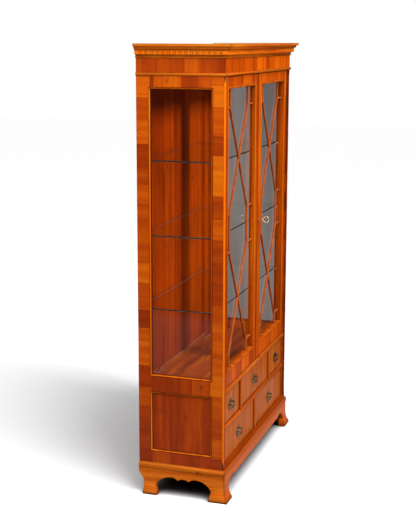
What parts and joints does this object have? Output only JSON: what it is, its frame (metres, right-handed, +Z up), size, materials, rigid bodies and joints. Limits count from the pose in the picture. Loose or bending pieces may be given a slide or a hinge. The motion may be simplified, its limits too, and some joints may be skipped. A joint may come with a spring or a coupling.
{
  "type": "china cabinet",
  "caption": "Tall china cabinet with lattice-glazed doors, glazed sides, glass shelves, drawers with bail pulls, a dentil cornice and a bracket base with swept feet.",
  "frame": {"origin": "middle of the overall box, key included, on the floor", "axes": "+X to the right seen from the front, -Y out of the front, +Z up"},
  "size_m": [1.118, 0.4185, 1.9],
  "materials": {
    "yew": "polished lacquer",
    "drawer_yew": "polished lacquer",
    "inner_yew": "satin lacquer",
    "plain_wood": "bare",
    "pane_glass": "clear",
    "shelf_glass": "clear",
    "antique_brass": "antique",
    "brass": "polished"
  },
  "bodies": {
    "carcass": {"side_frame_left": "yew", "side_frame_right": "yew", "side_beads": "yew", "side_glass_left": "pane_glass", "side_glass_right": "pane_glass", "back_panel": "inner_yew", "top_board": "inner_yew", "ceiling_board": "inner_yew", "deck_board": "inner_yew", "drawer_rail_board": "yew", "bottom_board": "inner_yew", "drawer_dividers": "yew", "waist_moulding": "yew", "frieze_rail": "yew", "neck_moulding": "yew", "cornice": "yew", "dentil_band": "yew", "base_moulding": "yew", "front_bracket": "yew", "side_bracket_left": "yew", "side_bracket_right": "yew", "plinth_blocks": "plain_wood", "glass_shelves": "shelf_glass", "shelf_pins": "brass", "hinge_leaves": "brass"},
    "door_left": {"door_frame_left": "yew", "door_beads_left": "yew", "door_lattice_left": "yew", "door_glass_left": "pane_glass", "door_hinges_left": "brass", "bolt_plate": "brass"},
    "door_bolt": {"door_bolt": "brass"},
    "door_right": {"door_frame_right": "yew", "door_beads_right": "yew", "door_lattice_right": "yew", "door_glass_right": "pane_glass", "door_hinges_right": "brass", "lock_case": "brass"},
    "lock_bolt": {"lock_bolt": "brass"},
    "key": {"key": "brass"},
    "drawer_upper_left": {"drawer_front_upper_left": "drawer_yew", "drawer_box_upper_left": "plain_wood", "pull_plate_upper_left": "antique_brass"},
    "bail_upper_left": {"pull_bail_upper_left": "antique_brass"},
    "drawer_upper_middle": {"drawer_front_upper_middle": "drawer_yew", "drawer_box_upper_middle": "plain_wood", "pull_plate_upper_middle": "antique_brass"},
    "bail_upper_middle": {"pull_bail_upper_middle": "antique_brass"},
    "drawer_upper_right": {"drawer_front_upper_right": "drawer_yew", "drawer_box_upper_right": "plain_wood", "pull_plate_upper_right": "antique_brass"},
    "bail_upper_right": {"pull_bail_upper_right": "antique_brass"},
    "drawer_lower_left": {"drawer_front_lower_left": "drawer_yew", "drawer_box_lower_left": "plain_wood", "pull_plate_lower_left": "antique_brass"},
    "bail_lower_left": {"pull_bail_lower_left": "antique_brass"},
    "drawer_lower_right": {"drawer_front_lower_right": "drawer_yew", "drawer_box_lower_right": "plain_wood", "pull_plate_lower_right": "antique_brass"},
    "bail_lower_right": {"pull_bail_lower_right": "antique_brass"}
  },
  "joints": [
    {"name": "door_left_hinge", "type": "hinge", "parent": "carcass", "child": "door_left", "pos_m": [-0.5018, -0.1608, 1.1265], "axis": [0, 0, -1], "range_deg": [0, 105]},
    {"name": "door_right_hinge", "type": "hinge", "parent": "carcass", "child": "door_right", "pos_m": [0.5018, -0.1608, 1.1265], "axis": [0, 0, 1], "range_deg": [0, 105]},
    {"name": "door_bolt_slide", "type": "slide", "parent": "door_left", "child": "door_bolt", "axis": [0, 0, -1], "range_m": [0, 0.016]},
    {"name": "key_turn", "type": "hinge", "parent": "door_right", "child": "key", "pos_m": [0.02125, -0.1576, 1.1265], "axis": [0, 1, 0], "range_deg": [0, 90]},
    {"name": "lock_bolt_slide", "type": "slide", "parent": "door_right", "child": "lock_bolt", "axis": [-1, 0, 0], "range_m": [0, 0.009]},
    {"name": "drawer_upper_left_slide", "type": "slide", "parent": "carcass", "child": "drawer_upper_left", "axis": [0, -1, 0], "range_m": [0, 0.22]},
    {"name": "bail_upper_left_swing", "type": "hinge", "parent": "drawer_upper_left", "child": "bail_upper_left", "pos_m": [-0.3765, -0.1626, 0.3905], "axis": [-1, 0, 0], "range_deg": [0, 80]},
    {"name": "drawer_upper_middle_slide", "type": "slide", "parent": "carcass", "child": "drawer_upper_middle", "axis": [0, -1, 0], "range_m": [0, 0.22]},
    {"name": "bail_upper_middle_swing", "type": "hinge", "parent": "drawer_upper_middle", "child": "bail_upper_middle", "pos_m": [0, -0.1626, 0.3905], "axis": [-1, 0, 0], "range_deg": [0, 80]},
    {"name": "drawer_upper_right_slide", "type": "slide", "parent": "carcass", "child": "drawer_upper_right", "axis": [0, -1, 0], "range_m": [0, 0.22]},
    {"name": "bail_upper_right_swing", "type": "hinge", "parent": "drawer_upper_right", "child": "bail_upper_right", "pos_m": [0.3765, -0.1626, 0.3905], "axis": [-1, 0, 0], "range_deg": [0, 80]},
    {"name": "drawer_lower_left_slide", "type": "slide", "parent": "carcass", "child": "drawer_lower_left", "axis": [0, -1, 0], "range_m": [0, 0.22]},
    {"name": "bail_lower_left_swing", "type": "hinge", "parent": "drawer_lower_left", "child": "bail_lower_left", "pos_m": [-0.2565, -0.1626, 0.228], "axis": [-1, 0, 0], "range_deg": [0, 80]},
    {"name": "drawer_lower_right_slide", "type": "slide", "parent": "carcass", "child": "drawer_lower_right", "axis": [0, -1, 0], "range_m": [0, 0.22]},
    {"name": "bail_lower_right_swing", "type": "hinge", "parent": "drawer_lower_right", "child": "bail_lower_right", "pos_m": [0.2565, -0.1626, 0.228], "axis": [-1, 0, 0], "range_deg": [0, 80]}
  ],
  "couplings": [
    {"joint": "lock_bolt_slide", "follows": "key_turn", "m_per_rad": 0.0057}
  ]
}
